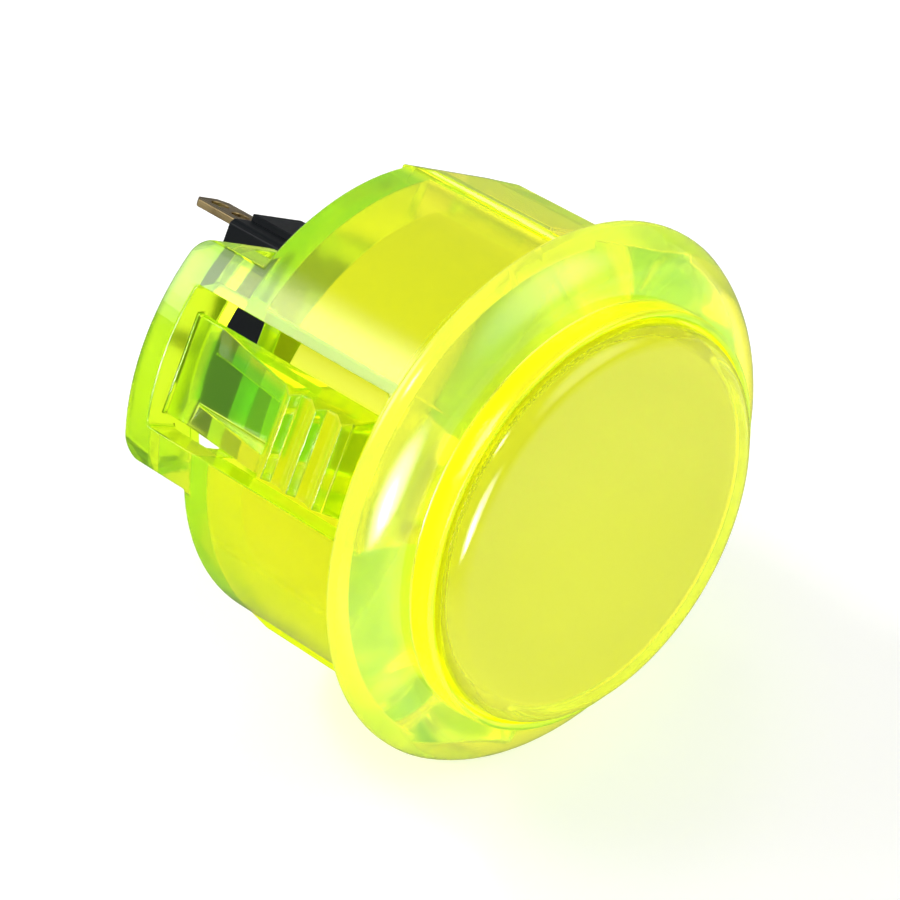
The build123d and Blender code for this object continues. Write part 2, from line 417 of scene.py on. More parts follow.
@dataclass(frozen=True)
class PaintedGlow:
    """Painted light: emission in bands of colour along the press axis, which makes the plastic glow though no
    lamp is there.
    """

    bands: tuple[tuple[float, Triple], ...]
    strength: float
    zones: tuple[PaintedZone, ...] = ()

    def fill(self, sheet: MaterialSheet) -> None:
        """Give a material the painted glow.

        Args:
            sheet: the material's sheet.
        """
        low, high = self.bands[0][0], self.bands[-1][0]
        share = sheet.fill(sheet.add("ShaderNodeMapRange"), Value=sheet.axes()["Z"], From_Min=low,
                           From_Max=high)
        blend = sheet.add("ShaderNodeValToRGB")
        stops = blend.color_ramp.elements
        for i, (height, colour) in enumerate(self.bands):
            place = (height - low) / (high - low)
            stop = stops[i] if i < len(stops) else stops.new(place)
            stop.position = place
            stop.color = rgba(colour)
        sheet.fill(blend, Fac=share.outputs["Result"])
        colour = blend.outputs["Color"]
        # Painted light: brighter zones laid over the glow.
        for zone in self.zones:
            colour = zone.blend(sheet, colour)
        # Painted light: the glow is emission that brightens the plastic where no lamp shines.
        sheet.fill(sheet.surface, Emission_Color=colour, Emission_Strength=self.strength)
        sheet.material.cycles.emission_sampling = "NONE"


@dataclass(frozen=True)
class ClearPlastic:
    """Polished clear plastic, tinted at its skin and through its depth, with a faint painted glow and painted
    shade.
    """

    name: str
    tint: Triple
    dusty: Triple
    clearness: float
    depth_colour: Triple
    depth_density: float
    roughness: float
    coat: float
    glow: PaintedGlow
    zones: tuple[PaintedZone, ...] = ()
    ior: float = 1.5
    grain_scale: float = 2600.0
    wave_scale: float = 210.0
    wave_height: float = 0.006 * MM
    spread: float = 0.08
    speck_scale: float = 420.0
    smudge_scale: float = 130.0
    wear: float = 0.25
    coat_roughness: float = 0.03

    def material(self) -> Material:
        """Build the material.

        Returns:
            The finished material.
        """
        sheet = MaterialSheet(self.name)
        skin = sheet.effect(Effect.MOULD_SKIN, Grain_Scale=self.grain_scale, Wave_Scale=self.wave_scale,
                            Roughness=self.roughness, Spread=self.spread)
        marks = sheet.effect(Effect.HANDLING, Speck_Scale=self.speck_scale, Smudge_Scale=self.smudge_scale,
                             Amount=self.wear)
        colour = sheet.mix_colour(marks.outputs["Mask"], self.tint, self.dusty)
        # Painted shade: darker, greener zones laid over the base colour by place.
        for zone in self.zones:
            colour = zone.blend(sheet, colour)
        sheet.fill(sheet.surface, Base_Color=colour, Metallic=0.0, Roughness=skin.outputs["Roughness"],
                   IOR=self.ior, Transmission_Weight=self.clearness, Coat_Weight=self.coat,
                   Coat_Roughness=self.coat_roughness)
        self.glow.fill(sheet)
        sheet.bump(skin.outputs["Height"], self.wave_height)
        depth = sheet.add("ShaderNodeVolumeAbsorption")
        sheet.fill(depth, Color=rgba(self.depth_colour), Density=self.depth_density)
        sheet.fill(sheet.out, Volume=depth.outputs["Volume"])
        return sheet.material


@dataclass(frozen=True)
class MouldedPlastic:
    """Opaque moulded plastic with a fine grain."""

    name: str
    colour: Triple
    worn: Triple
    roughness: float
    spread: float
    grain_scale: float
    grain_height: float
    wear: float
    gloss: float = 0.5
    glow: PaintedGlow | None = None
    wave_scale: float = 240.0
    speck_scale: float = 520.0
    smudge_scale: float = 160.0

    def material(self) -> Material:
        """Build the material.

        Returns:
            The finished material.
        """
        sheet = MaterialSheet(self.name)
        skin = sheet.effect(Effect.MOULD_SKIN, Grain_Scale=self.grain_scale, Wave_Scale=self.wave_scale,
                            Roughness=self.roughness, Spread=self.spread)
        marks = sheet.effect(Effect.HANDLING, Speck_Scale=self.speck_scale, Smudge_Scale=self.smudge_scale,
                             Amount=self.wear)
        colour = sheet.mix_colour(marks.outputs["Mask"], self.colour, self.worn)
        sheet.fill(sheet.surface, Base_Color=colour, Metallic=0.0, Roughness=skin.outputs["Roughness"],
                   Specular_IOR_Level=self.gloss)
        # Painted light: an optional glow, which the core has.
        if self.glow:
            self.glow.fill(sheet)
        sheet.bump(skin.outputs["Height"], self.grain_height)
        return sheet.material


@dataclass(frozen=True)
class RolledMetal:
    """Rolled sheet or drawn wire with light tarnish."""

    name: str
    colour: Triple
    tarnish: Triple
    roughness: float
    line_height: float
    line_scale: float = 5200.0
    tarnish_scale: float = 420.0
    spread: float = 0.22

    def material(self) -> Material:
        """Build the material.

        Returns:
            The finished material.
        """
        sheet = MaterialSheet(self.name)
        rolled = sheet.effect(Effect.ROLLED, Line_Scale=self.line_scale, Tarnish_Scale=self.tarnish_scale,
                              Roughness=self.roughness, Spread=self.spread)
        colour = sheet.mix_colour(rolled.outputs["Tarnish"], self.colour, self.tarnish)
        sheet.fill(sheet.surface, Base_Color=colour, Metallic=1.0, Roughness=rolled.outputs["Roughness"])
        sheet.bump(rolled.outputs["Height"], self.line_height)
        return sheet.material


# Painted light: the housing glows green on the barrel, pale on the rim and bright yellow on the collar.
BARREL_GLOW = (0.15, 0.38, 0.006)
RIM_GLOW = (0.46, 0.6, 0.26)
COLLAR_GLOW = (0.62, 0.72, 0.005)
# Painted light: the flat pads glow bright yellow.
PAD_GLOW = PaintedZone((1.0, 1.0, 0.006), across=(13.9 * MM, PAST_RIM), along=(-14.0 * MM, -0.8 * MM), edge=0.3 * MM)
HOUSING_GLOW = PaintedGlow(((-0.8 * MM, BARREL_GLOW), (-0.1 * MM, RIM_GLOW), (2.7 * MM, RIM_GLOW),
                          (3.0 * MM, COLLAR_GLOW)), strength=0.2, zones=(PAD_GLOW,))
# Painted shade: the rear of the wings is darker and greener.
REAR_PAINTED_SHADE = PaintedZone((0.74, 0.87, 0.12), across=(0.0, PAST_RIM), along=(-20.0 * MM, -17.0 * MM), edge=6.0 * MM)
# Painted shade: the latch pocket is dark green.
POCKET_PAINTED_SHADE = PaintedZone((0.34, 0.76, 0.05), across=(0.0, 1.6 * MM), along=(-15.4 * MM, -7.5 * MM), edge=0.5 * MM,
                   out=(10.5 * MM, PAST_RIM))
# Painted light: the cap glows bright yellow below 3.4 mm, along its side, and hardly at its top.
CAP_GLOW = PaintedGlow(((3.4 * MM, (0.8, 0.95, 0.01)), (3.9 * MM, (0.04, 0.06, 0.002))), strength=0.08)
# Painted light: the matte core glows bright yellow below 3 mm and dimmer on its top disc.
CORE_GLOW = PaintedGlow(((3.0 * MM, (0.9, 0.85, 0.02)), (3.8 * MM, (0.3, 0.34, 0.03))), strength=0.35)
HOUSING_CLEAR = ClearPlastic("clear_housing", tint=(0.975, 0.86, 0.1), dusty=(0.93, 0.88, 0.2),
                             clearness=0.95, depth_colour=(0.984, 0.996, 0.2), depth_density=900.0,
                             roughness=0.12, coat=0.2, glow=HOUSING_GLOW, zones=(REAR_PAINTED_SHADE, POCKET_PAINTED_SHADE))
CAP_CLEAR = ClearPlastic("clear_plunger_cap", tint=(0.98, 0.985, 0.3), dusty=(0.93, 0.95, 0.35),
                         clearness=0.95, depth_colour=(0.992, 0.996, 0.2), depth_density=700.0,
                         roughness=0.08, coat=0.1, glow=CAP_GLOW, wave_height=0.002 * MM)
CORE_MATTE = MouldedPlastic("matte_core", (0.88, 0.9, 0.04), (0.82, 0.85, 0.08), roughness=0.5, spread=0.12,
                            grain_scale=3200.0, grain_height=0.003 * MM, wear=0.3, glow=CORE_GLOW)
SWITCH_BLACK = MouldedPlastic("black_switch", (0.002, 0.004, 0.006), (0.01, 0.013, 0.016), roughness=0.42,
                              spread=0.25, grain_scale=5200.0, grain_height=0.012 * MM, wear=0.7, gloss=0.2)
ACTUATOR_WHITE = MouldedPlastic("white_actuator", (0.8, 0.8, 0.76), (0.66, 0.66, 0.6), roughness=0.4,
                                spread=0.15, grain_scale=4200.0, grain_height=0.005 * MM, wear=0.5)
BRASS = RolledMetal("stamped_brass", (0.6, 0.46, 0.22), (0.36, 0.26, 0.12), roughness=0.3,
                    line_height=0.006 * MM)
SILVER = RolledMetal("silver_contact", (0.82, 0.82, 0.8), (0.55, 0.54, 0.5), roughness=0.25,
                     line_height=0.003 * MM)
SPRING_STEEL = RolledMetal("spring_wire", (0.6, 0.6, 0.62), (0.42, 0.42, 0.43), roughness=0.22,
                           line_height=0.002 * MM)


def carry(name: str, data: ID) -> Object:
    """Link a new object into the scene.

    Args:
        name: the object's name.
        data: its mesh, camera or light.

    Returns:
        The new object.
    """
    carrier = bpy.data.objects.new(name, data)
    bpy.context.scene.collection.objects.link(carrier)
    return carrier


def settle(carrier: Object) -> Mesh:
    """Take the finished mesh off a passing object and remove the object.

    Args:
        carrier: the object with its modifiers.

    Returns:
        A plain mesh with the modifiers' result.
    """
    graph = bpy.context.evaluated_depsgraph_get()
    mesh = bpy.data.meshes.new_from_object(carrier.evaluated_get(graph))
    carrier.modifiers.clear()
    bpy.data.objects.remove(carrier)
    return mesh


class GeometryRecipe:
    """Geometry Nodes tree with named inputs, which grows one plain mesh."""

    def __init__(self, name: str, sizes: dict[str, float | int]) -> None:
        """Start the tree with its named inputs.

        Args:
            name: the tree's name.
            sizes: the inputs and their values; a whole number makes a whole-number input.
        """
        self.sizes = sizes
        self.tree = bpy.data.node_groups.new(name, "GeometryNodeTree")
        self.sheet = NodeSheet(self.tree)
        face = self.tree.interface
        face.new_socket("Geometry", in_out="OUTPUT", socket_type="NodeSocketGeometry")
        for label, value in sizes.items():
            kind = "NodeSocketInt" if isinstance(value, int) else "NodeSocketFloat"
            face.new_socket(label, in_out="INPUT", socket_type=kind)
        face.new_socket("Finish", in_out="INPUT", socket_type="NodeSocketMaterial")
        self.source = self.sheet.add("NodeGroupInput").outputs

    def close(self, geometry: NodeSocket) -> None:
        """End the tree in plain geometry with its material.

        Args:
            geometry: the socket of what the tree has made.
        """
        sheet = self.sheet
        real = sheet.fill(sheet.add("GeometryNodeRealizeInstances"), Geometry=geometry)
        painted = sheet.fill(sheet.add("GeometryNodeSetMaterial"), Geometry=real.outputs[0],
                             Material=self.source["Finish"])
        sheet.fill(sheet.add("NodeGroupOutput"), Geometry=painted.outputs[0])

    def grow(self, finish: Material) -> Mesh:
        """Run the tree.

        Args:
            finish: the material of the mesh.

        Returns:
            A plain closed mesh whose faces point outwards.
        """
        carrier = carry(self.tree.name, bpy.data.meshes.new(self.tree.name))
        modifier = carrier.modifiers.new("recipe", "NODES")
        modifier.node_group = self.tree
        for item in self.tree.interface.items_tree:
            if item.in_out == "INPUT":
                modifier[item.identifier] = self.sizes.get(item.name, finish)
        mesh = settle(carrier)
        sheet = bmesh.new()
        sheet.from_mesh(mesh)
        bmesh.ops.recalc_face_normals(sheet, faces=sheet.faces)
        sheet.to_mesh(mesh)
        sheet.free()
        mesh.shade_smooth()
        mesh.set_sharp_from_angle(angle=SMOOTH_ANGLE)
        return mesh


def weigh_normals(mesh: Mesh) -> Mesh:
    """Shade a mesh so that its large faces stay flat beside their small edge rounds.

    Args:
        mesh: a smooth-shaded mesh.

    Returns:
        A new mesh with its normals weighted by face area.
    """
    carrier = carry(mesh.name, mesh)
    weigh = carrier.modifiers.new("flat_faces", "WEIGHTED_NORMAL")
    weigh.keep_sharp = True
    return settle(carrier)


@dataclass(frozen=True)
class EdgeRound:
    """How a moulded or stamped piece has its edges rounded, and how the result is mended.

    A corner is stray over `stray` widths off the plain surface or `reach` widths off its corners. A face is
    turned over when its cosine to the plain surface is below `turned`.
    """

    width: float
    segments: int = 2
    weld: float = 0.002 * MM
    shortest: float = 0.03 * MM
    flat_angle: float = math.radians(0.2)
    edge_angle: float = math.radians(25)
    stray: float = 0.6
    reach: float = 3.0
    turned: float = -0.3
    passes: int = 12

    def folded(self, corners: list[Vector], skin: BVHTree) -> float:
        """Area of a triangle that faces against the surface below it, or 0.

        Args:
            corners: the triangle's corners.
            skin: the surface before its edges were rounded.

        Returns:
            The turned area.
        """
        first, second, third = corners
        facing = (second - first).cross(third - first)
        _, below, _, _ = skin.find_nearest((first + second + third) / 3)
        return facing.length / 2 if facing.dot(below) < self.turned * facing.length else 0.0

    def collapse(self, face: BMFace, skin: BVHTree, used: set[BMVert]) -> tuple[BMVert, BMVert] | None:
        """Find the corner of a turned face to merge into another, with the least turned area left.

        A merge keeps the mesh closed where the corners have exactly two common neighbours.

        Args:
            face: the turned face.
            skin: the surface before its edges were rounded.
            used: corners that other merges of this pass touch.

        Returns:
            The corner and the one that it goes to, or None.
        """
        best = None
        least = math.inf
        for edge in face.edges:
            rings = [{side.other_vert(end) for side in end.link_edges} for end in edge.verts]
            if len(rings[0] & rings[1]) != 2 or (rings[0] | rings[1]) & used:
                continue
            for gone, kept in (edge.verts, reversed(edge.verts)):
                left = 0.0
                for near in gone.link_faces:
                    if kept not in near.verts:
                        moved = [kept.co if corner is gone else corner.co for corner in near.verts]
                        left += self.folded(moved, skin)
                if left < least:
                    best, least = (gone, kept), left
        return best

    def unfold(self, sheet: BMesh, skin: BVHTree) -> None:
        """Collapse the faces that the rounding turned over.

        Args:
            sheet: the rounded mesh, which is changed.
            skin: the surface before its edges were rounded.
        """
        bmesh.ops.triangulate(sheet, faces=sheet.faces)
        for _ in range(self.passes):
            merged = {}
            used = set()
            for face in sheet.faces:
                if self.folded([corner.co for corner in face.verts], skin):
                    pair = self.collapse(face, skin, used)
                    if pair:
                        merged[pair[0]] = pair[1]
                        used |= {side.other_vert(end) for end in pair for side in end.link_edges}
            if not merged:
                break
            bmesh.ops.weld_verts(sheet, targetmap=merged)

    def pull_in(self, rounded: Mesh, plain: Mesh) -> None:
        """Bring corners that the rounding threw too far back to their neighbours.

        Args:
            rounded: the mesh with rounded edges, which is changed.
            plain: the mesh before its edges were rounded.
        """
        corners = KDTree(len(plain.vertices))
        for vertex in plain.vertices:
            corners.insert(vertex.co, vertex.index)
        corners.balance()
        sheet = bmesh.new()
        sheet.from_mesh(plain)
        skin = BVHTree.FromBMesh(sheet)
        sheet.clear()
        sheet.from_mesh(rounded)
        stray = []
        for vertex in sheet.verts:
            *_, off_skin = skin.find_nearest(vertex.co)
            *_, off_corner = corners.find(vertex.co)
            if off_skin > self.stray * self.width or off_corner > self.reach * self.width:
                stray.append(vertex)
        moving = set(stray)
        for vertex in stray:
            others = [edge.other_vert(vertex) for edge in vertex.link_edges]
            kept = [other for other in others if other not in moving] or others
            middle = min(kept, key=lambda spot: sum((spot.co - other.co).length for other in kept))
            vertex.co = middle.co
        bmesh.ops.dissolve_degenerate(sheet, dist=self.weld, edges=sheet.edges)
        self.unfold(sheet, skin)
        sheet.to_mesh(rounded)
        sheet.free()

    def apply(self, node: str, air_gap: float = 0.0) -> Mesh:
        """Copy a frame mesh with its facets joined and its edges rounded.

        Args:
            node: the frame node to copy.
            air_gap: how far its top face stays below what it seats against.

        Returns:
            A new mesh in the frame's place.
        """
        _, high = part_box(node)
        top = high.z - air_gap
        sheet = bmesh.new()
        sheet.from_mesh(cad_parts[node].data)
        for vertex in sheet.verts:
            vertex.co.z = min(vertex.co.z, top)
        bmesh.ops.remove_doubles(sheet, verts=sheet.verts, dist=self.weld)
        bmesh.ops.dissolve_degenerate(sheet, dist=self.shortest, edges=sheet.edges)
        bmesh.ops.dissolve_limit(sheet, angle_limit=self.flat_angle, verts=sheet.verts, edges=sheet.edges)
        rough = bpy.data.meshes.new(node + "_rough")
        sheet.to_mesh(rough)
        sheet.free()
        rough.shade_smooth()
        rough.set_sharp_from_angle(angle=SMOOTH_ANGLE)
        carrier = carry(node + "_rough", rough)
        bevel = carrier.modifiers.new("edge_round", "BEVEL")
        bevel.width = self.width
        bevel.segments = self.segments
        bevel.limit_method = "ANGLE"
        bevel.angle_limit = self.edge_angle
        bevel.use_clamp_overlap = False
        rounded = settle(carrier)
        self.pull_in(rounded, rough)
        return weigh_normals(rounded)


def show(name: str, mesh: Mesh, finish: Material, body: Body, slot: Slot, *nodes: str) -> Object:
    """Put a finished mesh into the scene in place of frame nodes.

    Args:
        name: the piece's name.
        mesh: the finished mesh, in the frame's place.
        finish: the piece's material.
        body: the body that it rides on.
        slot: not used.
        nodes: the frame nodes that it stands for.

    Returns:
        The new object.
    """
    mesh.name = name
    mesh.materials.clear()
    mesh.materials.append(finish)
    piece = carry(name, mesh)
    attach(piece, body.value)
    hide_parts(*nodes)
    triangles = sum(len(face.vertices) - 2 for face in mesh.polygons)
    LOG.info("%s: %d triangles on %s", name, triangles, body.value)
    return piece


def paint(node: str, finish: Material) -> None:
    """Dress a frame node that keeps its own mesh.

    Args:
        node: the node's name.
        finish: its material.
    """
    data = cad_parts[node].data
    data.materials.clear()
    data.materials.append(finish)
    LOG.info("%s: its own mesh in %s", node, finish.name)


@dataclass
class Housing:
    """Clear moulding with the rim, collar, barrel, wings and latches."""

    edges: EdgeRound = EdgeRound(width=0.1 * MM)
    finish: ClearPlastic = HOUSING_CLEAR

    def build(self) -> Mesh:
        """Round the moulding's edges."""
        return self.edges.apply("housing")

    def dress(self) -> None:
        """Show the moulding in its clear plastic."""
        clear = self.finish.material()
        show("housing_moulding", self.build(), clear, Body.BUTTON, Slot.CLEAR_TINT, "housing")


@dataclass
class Plunger:
    """Turned clear cap over a matte inner moulding."""

    cap_radius: float = 12.25 * MM
    cap_top: float = 5.5 * MM
    cap_height: float = 8.5 * MM
    cap_edge_round: float = 1.2 * MM
    cap_top_wall: float = 1.52 * MM
    cap_side_wall: float = 0.95 * MM
    groove_radius: float = 11.46 * MM
    groove_low: float = -1.78 * MM
    groove_high: float = -1.12 * MM
    small_round: float = 0.12 * MM
    round_steps: int = 10
    turn_steps: int = 240
    guide_radius: float = 1.0 * MM
    weld: float = 0.001 * MM
    core_edges: EdgeRound = EdgeRound(width=0.06 * MM)

    def cap_recipe(self) -> GeometryRecipe:
        """Write the tree that turns the cap's section about the press axis.

        Returns:
            The recipe with the cap's sizes.
        """
        recipe = GeometryRecipe("turned_cap", {
            "Radius": self.cap_radius, "Top": self.cap_top, "Height": self.cap_height,
            "Edge Round": self.cap_edge_round, "Top Wall": self.cap_top_wall,
            "Side Wall": self.cap_side_wall, "Groove Radius": self.groove_radius,
            "Groove Low": self.groove_low, "Groove High": self.groove_high, "Small Round": self.small_round,
            "Round Steps": self.round_steps, "Turn Steps": self.turn_steps,
            "Guide Radius": self.guide_radius})
        sheet = recipe.sheet
        size = recipe.source
        axis = sheet.math("MULTIPLY", size["Guide Radius"], -1.0)
        outer = sheet.math("SUBTRACT", size["Radius"], size["Guide Radius"])
        inner = sheet.math("SUBTRACT", outer, size["Side Wall"])
        groove = sheet.math("SUBTRACT", size["Groove Radius"], size["Guide Radius"])
        bottom = sheet.math("SUBTRACT", size["Top"], size["Height"])
        ceiling = sheet.math("SUBTRACT", size["Top"], size["Top Wall"])
        corners = [(axis, size["Top"], 0.0), (outer, size["Top"], size["Edge Round"]),
                   (outer, bottom, size["Small Round"]), (inner, bottom, size["Small Round"]),
                   (inner, size["Groove Low"], 0.0), (groove, size["Groove Low"], 0.0),
                   (groove, size["Groove High"], 0.0), (inner, size["Groove High"], 0.0),
                   (inner, ceiling, 0.0), (axis, ceiling, 0.0)]
        index = sheet.add("GeometryNodeInputIndex").outputs[0]
        spot = sheet.add("GeometryNodeIndexSwitch", data_type="VECTOR")
        rounding = sheet.add("GeometryNodeIndexSwitch", data_type="FLOAT")
        for switch in (spot, rounding):
            sheet.fill(switch, Index=index)
        for i, (out, up, edge) in enumerate(corners):
            if i > 1:
                spot.index_switch_items.new()
                rounding.index_switch_items.new()
            down = sheet.math("MULTIPLY", up, -1.0)
            place = sheet.fill(sheet.add("ShaderNodeCombineXYZ"), X=out, Y=down)
            sheet.put(spot.inputs[i + 1], place.outputs[0])
            sheet.put(rounding.inputs[i + 1], edge)
        line = sheet.fill(sheet.add("GeometryNodeMeshLine"), Count=len(corners))
        moved = sheet.fill(sheet.add("GeometryNodeSetPosition"), Geometry=line.outputs[0],
                           Position=spot.outputs[0])
        marked = sheet.fill(sheet.add("GeometryNodeStoreNamedAttribute", data_type="FLOAT", domain="POINT"),
                            Geometry=moved.outputs[0], Name="corner_round", Value=rounding.outputs[0])
        section = sheet.fill(sheet.add("GeometryNodeMeshToCurve"), Mesh=marked.outputs[0])
        corner_round = sheet.fill(sheet.add("GeometryNodeInputNamedAttribute", data_type="FLOAT"),
                                  Name="corner_round")
        rounded = sheet.fill(sheet.add("GeometryNodeFilletCurve", mode="POLY"), Curve=section.outputs[0],
                             Count=size["Round Steps"], Radius=corner_round.outputs[0])
        guide = sheet.fill(sheet.add("GeometryNodeCurvePrimitiveCircle"), Resolution=size["Turn Steps"],
                           Radius=size["Guide Radius"])
        turned = sheet.fill(sheet.add("GeometryNodeCurveToMesh"), Curve=guide.outputs[0],
                            Profile_Curve=rounded.outputs[0])
        closed = sheet.fill(sheet.add("GeometryNodeMergeByDistance"), Geometry=turned.outputs[0],
                            Distance=self.weld)
        recipe.close(closed.outputs[0])
        return recipe

    def dress(self) -> None:
        """Show the cap in clear plastic and the moulding under it in matte plastic."""
        clear = CAP_CLEAR.material()
        cap = weigh_normals(self.cap_recipe().grow(clear))
        show("plunger_cap_moulding", cap, clear, Body.PLUNGER, Slot.CLEAR_CAP, "plunger_cap")
        core = self.core_edges.apply("plunger_core")
        show("plunger_core_moulding", core, CORE_MATTE.material(), Body.PLUNGER, Slot.CORE, "plunger_core")


@dataclass
class Microswitch:
    """Black two-part case with its terminals, actuator, rocker and contacts."""

    edges: EdgeRound = EdgeRound(width=0.05 * MM)
    seat_gap: float = 0.03 * MM

    def dress(self) -> None:
        """Show the case and the terminals with rounded edges and dress the pieces inside."""
        black = SWITCH_BLACK.material()
        for node in ("switch_case", "switch_cover"):
            moulding = self.edges.apply(node, self.seat_gap)
            show(node + "_moulding", moulding, black, Body.BUTTON, Slot.SWITCH, node)
        brass = BRASS.material()
        for node in ("common_terminal", "open_terminal"):
            show(node + "_blade", self.edges.apply(node), brass, Body.BUTTON, Slot.BRASS, node)
        silver = SILVER.material()
        for node, finish in (("switch_actuator", ACTUATOR_WHITE.material()), ("contact_rocker", brass),
                             ("moving_contact", silver), ("fixed_contact", silver)):
            paint(node, finish)


@dataclass
class ReturnSpring:
    """Coil between the actuator's flange and the rocker. The real coil shortens as the button goes in; this
    mesh keeps one length.
    """

    coil_radius: float = 1.3 * MM
    wire_radius: float = 0.15 * MM
    turns: float = 4.0
    turn_steps: int = 40
    wire_steps: int = 12
    travel: float = 1.8 * MM

    def recipe(self, low: float, high: float) -> GeometryRecipe:
        """Write the tree that winds the wire.

        Args:
            low: height of the wire's centre at the lower end.
            high: height of the wire's centre at the upper end.

        Returns:
            The recipe with the spring's sizes.
        """
        recipe = GeometryRecipe("wound_spring", {
            "Coil Radius": self.coil_radius, "Wire Radius": self.wire_radius, "Turns": self.turns,
            "Turn Steps": self.turn_steps, "Wire Steps": self.wire_steps, "Low End": low,
            "Height": high - low})
        sheet = recipe.sheet
        size = recipe.source
        helix = sheet.fill(sheet.add("GeometryNodeCurveSpiral"), Resolution=size["Turn Steps"],
                           Rotations=size["Turns"], Start_Radius=size["Coil Radius"],
                           End_Radius=size["Coil Radius"], Height=size["Height"], Reverse=True)
        lift = sheet.fill(sheet.add("ShaderNodeCombineXYZ"), Z=size["Low End"])
        path = sheet.fill(sheet.add("GeometryNodeSetPosition"), Geometry=helix.outputs[0],
                          Offset=lift.outputs[0])
        wire = sheet.fill(sheet.add("GeometryNodeCurvePrimitiveCircle"), Resolution=size["Wire Steps"],
                          Radius=size["Wire Radius"])
        coil = sheet.fill(sheet.add("GeometryNodeCurveToMesh"), Curve=path.outputs[0],
                          Profile_Curve=wire.outputs[0], Fill_Caps=True)
        recipe.close(coil.outputs[0])
        return recipe

    def dress(self) -> None:
        """Show the wound spring in place of its frame solid."""
        bottom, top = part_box("return_spring")
        low = bottom.z + self.wire_radius
        high = top.z - self.wire_radius
        steel = SPRING_STEEL.material()
        coil = show("return_spring_coil", self.recipe(low, high).grow(steel), steel, Body.BUTTON, Slot.SPRING,
                    "return_spring")
        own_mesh(coil)


@dataclass(frozen=True)
class Softbox:
    """Square soft light that fades towards its edges and faces the button.

    It hangs `towards` a direction from the button. Its radiance is against the backdrop's 1. Its centre and
    fade are in parts of its side.
    """

    name: str
    towards: Triple
    distance: float
    size: float
    radiance: float
    use: LightUse = LightUse.BOTH
    centre: Triple = (0.5, 0.5, 0.0)
    fade: Range = (0.15, 0.5)

    def hang(self) -> None:
        """Put the light into the scene."""
        data = bpy.data.lights.new(self.name, "AREA")
        data.shape = "SQUARE"
        data.size = self.size
        data.energy = self.radiance * math.pi * self.size**2
        data.use_nodes = True
        sheet = NodeSheet(data.node_tree)
        off_centre = sheet.add("ShaderNodeVectorMath", operation="DISTANCE")
        sheet.fill_in_order(off_centre, sheet.add("ShaderNodeNewGeometry").outputs["Parametric"], self.centre)
        glow = sheet.fill(sheet.add("ShaderNodeEmission"),
                          Strength=sheet.ramp(off_centre.outputs["Value"], *self.fade, 1.0, 0.0))
        sheet.fill(sheet.add("ShaderNodeOutputLight"), Surface=glow.outputs[0])
        light = carry(self.name, data)
        light.visible_diffuse = self.use is not LightUse.SHOWS
        light.visible_glossy = self.use is not LightUse.LIGHTS
        light.visible_transmission = self.use is LightUse.BOTH
        way = Vector(self.towards).normalized()
        turn = way.to_track_quat("Z", "Y").to_matrix().to_4x4()
        light.matrix_world = Matrix.Translation(way * self.distance) @ turn


LIGHTS = (
    Softbox("main_softbox", (-0.3, -0.76, -0.58), distance=0.45, size=0.36, radiance=5.0),
    Softbox("key_light", (-0.55, -0.6, -0.58), distance=0.5, size=0.14, radiance=34.0, use=LightUse.LIGHTS),
    Softbox("top_softbox", (-0.93, -0.16, -0.32), distance=0.5, size=0.16, radiance=4.0, use=LightUse.LIGHTS),
    Softbox("front_card", (0.28, -0.41, 0.86), distance=0.45, size=0.16, radiance=18.0),
    Softbox("rim_glint", (0.25, -0.4, 0.88), distance=0.44, size=0.38, radiance=13.0, use=LightUse.SHOWS),
    Softbox("edge_glint", (-0.44, -0.9, 0.08), distance=0.45, size=0.13, radiance=16.0, use=LightUse.SHOWS),
    Softbox("fill_softbox", (-0.70, 0.10, 0.71), distance=0.4, size=0.5, radiance=2.2),
)


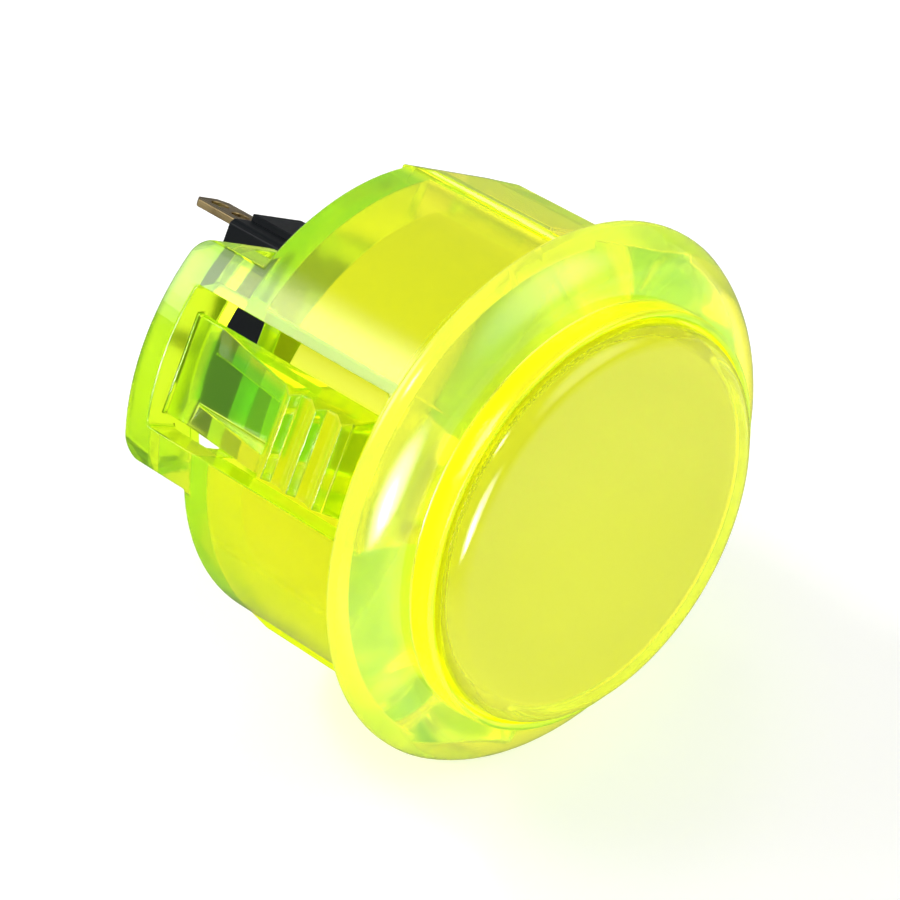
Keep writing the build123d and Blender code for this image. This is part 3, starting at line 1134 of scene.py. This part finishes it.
@dataclass(frozen=True)
class Floor:
    """White floor that the button rests on, and that shines up into its clear plastic.

    `seen` and `shine` are its own brightness for the camera and for the button, tinted green close by as a
    painted shadow of the clear plastic. Shiny faces mirror it darker behind the rim, a painted shadow of the
    button, up to `mirrored_end` on the press axis.
    """

    up: Triple = (-0.811, -0.573, 0.122)
    half: float = 1.5
    base: Triple = (0.65, 0.65, 0.65)
    # Painted shadow: the floor's colour as shiny faces mirror it behind the rim.
    mirrored: Triple = (0.2, 0.2, 0.2)
    mirrored_end: float = 15.0 * MM
    seen: float = 0.56
    shine: float = 0.45
    shine_fade: Range = (45.0 * MM, 120.0 * MM)
    # Painted shadow: green tint of the floor close to the button.
    tint: Triple = (0.94, 1.0, 0.88)
    shadow_tint_fade: Range = (18.0 * MM, 26.0 * MM)

    def material(self) -> Material:
        """Make the floor's paint, which is clear from below.

        Returns:
            The finished material.
        """
        sheet = MaterialSheet("white_floor")
        length = sheet.fill(sheet.add("ShaderNodeVectorMath", operation="LENGTH"), Vector=sheet.place())
        away = length.outputs["Value"]
        path = sheet.add("ShaderNodeLightPath").outputs
        # Painted shadow: glossy reflection rays see the floor darker behind the rim.
        mirrored = sheet.math("MULTIPLY", path["Is Glossy Ray"], path["Is Reflection Ray"])
        mirrored = sheet.math("MULTIPLY", mirrored,
                              sheet.ramp(sheet.axes()["Z"], 0.0, self.mirrored_end, 1.0, 0.0))
        shine = sheet.ramp(away, *self.shine_fade, self.shine, 0.0)
        shine = sheet.math("MULTIPLY", shine, sheet.math("SUBTRACT", 1.0, mirrored))
        seen = sheet.math("MULTIPLY", path["Is Camera Ray"], self.seen)
        # Painted shadow: the floor's emission is tinted green close to the button.
        sheet.fill(sheet.surface, Base_Color=sheet.mix_colour(mirrored, self.base, self.mirrored),
                   Roughness=1.0, Specular_IOR_Level=0.0,
                   Emission_Color=sheet.mix_colour(sheet.ramp(away, *self.shadow_tint_fade), self.tint, WHITE),
                   Emission_Strength=sheet.math("MAXIMUM", seen, shine))
        below = sheet.add("ShaderNodeNewGeometry").outputs["Backfacing"]
        clear = sheet.add("ShaderNodeBsdfTransparent").outputs["BSDF"]
        shaders = (sheet.surface.outputs["BSDF"], clear)
        paint = sheet.fill_in_order(sheet.add("ShaderNodeMixShader"), below, *shaders)
        sheet.fill(sheet.out, Surface=paint)
        return sheet.material

    def lay(self) -> None:
        """Lay the floor under the button as it rests on its rim."""
        up = Vector(self.up).normalized()
        low = min(up.dot(v.co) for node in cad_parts.values() for v in node.data.vertices)
        side = up.orthogonal().normalized()
        other = up.cross(side)
        corners = [up * low + side * a * self.half + other * b * self.half
                   for a, b in ((-1, -1), (1, -1), (1, 1), (-1, 1))]
        mesh = bpy.data.meshes.new("floor")
        mesh.from_pydata(corners, [], [(0, 1, 2, 3)])
        mesh.materials.append(self.material())
        carry("floor", mesh)


BOUNCES = {"max_bounces": 20, "transmission_bounces": 16, "glossy_bounces": 8, "diffuse_bounces": 4,
           "transparent_max_bounces": 16}


@dataclass
class Studio:
    """Camera, floor, backdrop and soft lights."""

    aim: Triple = (-0.417 * MM, -3.362 * MM, -4.526 * MM)
    azimuth: float = math.radians(-15.78)
    elevation: float = math.radians(36.49)
    roll: float = math.radians(-120.2)
    distance: float = 226.6 * MM
    lens: float = 160.0
    sensor: float = 36.0
    nearest: float = 10.0 * MM
    backdrop: float = 1.0
    room_light: float = 0.3
    brightest_bounce: float = 6.0
    floor: Floor = Floor()
    lights: tuple[Softbox, ...] = LIGHTS

    def camera(self) -> None:
        """Place the camera at the photograph's viewing angle."""
        flat = math.cos(self.elevation)
        back = Vector((math.sin(self.azimuth) * flat, -math.cos(self.azimuth) * flat,
                       math.sin(self.elevation)))
        level = Vector((math.cos(self.azimuth), math.sin(self.azimuth), 0))
        upright = back.cross(level)
        up = upright * math.cos(self.roll) + level * math.sin(self.roll)
        right = up.cross(back)
        data = bpy.data.cameras.new("camera")
        data.lens = self.lens
        data.sensor_width = self.sensor
        data.clip_start = self.nearest
        camera = carry("camera", data)
        turn = Matrix((right, up, back)).transposed().to_4x4()
        camera.matrix_world = Matrix.Translation(Vector(self.aim) + back * self.distance) @ turn
        bpy.context.scene.camera = camera

    def world(self) -> None:
        """Fill the room with dim even light behind a white backdrop."""
        world = bpy.data.worlds.new("white_room")
        world.use_nodes = True
        sheet = NodeSheet(world.node_tree)
        lit, seen = (sheet.fill_in_order(sheet.add("ShaderNodeBackground"), rgba(WHITE), strength)
                     for strength in (self.room_light, self.backdrop))
        camera_ray = sheet.add("ShaderNodeLightPath").outputs["Is Camera Ray"]
        room = sheet.fill_in_order(sheet.add("ShaderNodeMixShader"), camera_ray, lit, seen)
        sheet.fill(sheet.add("ShaderNodeOutputWorld"), Surface=room)
        bpy.context.scene.world = world

    def exposure(self) -> None:
        """Set the tone curve and how far light is followed through the clear plastic."""
        scene = bpy.context.scene
        scene.view_settings.view_transform = "Standard"
        scene.view_settings.look = "None"
        scene.cycles.use_denoising = True
        scene.cycles.sample_clamp_indirect = self.brightest_bounce
        for name, count in BOUNCES.items():
            setattr(scene.cycles, name, count)

    def build(self) -> None:
        """Set up the whole studio."""
        self.camera()
        self.floor.lay()
        self.world()
        for light in self.lights:
            light.hang()
        self.exposure()


def main() -> None:
    """Build the button piece by piece, then its studio."""
    logging.basicConfig(level=logging.INFO, format="%(message)s")
    Housing().dress()
    Plunger().dress()
    Microswitch().dress()
    ReturnSpring().dress()
    Studio().build()


if __name__ == "__main__":
    main()
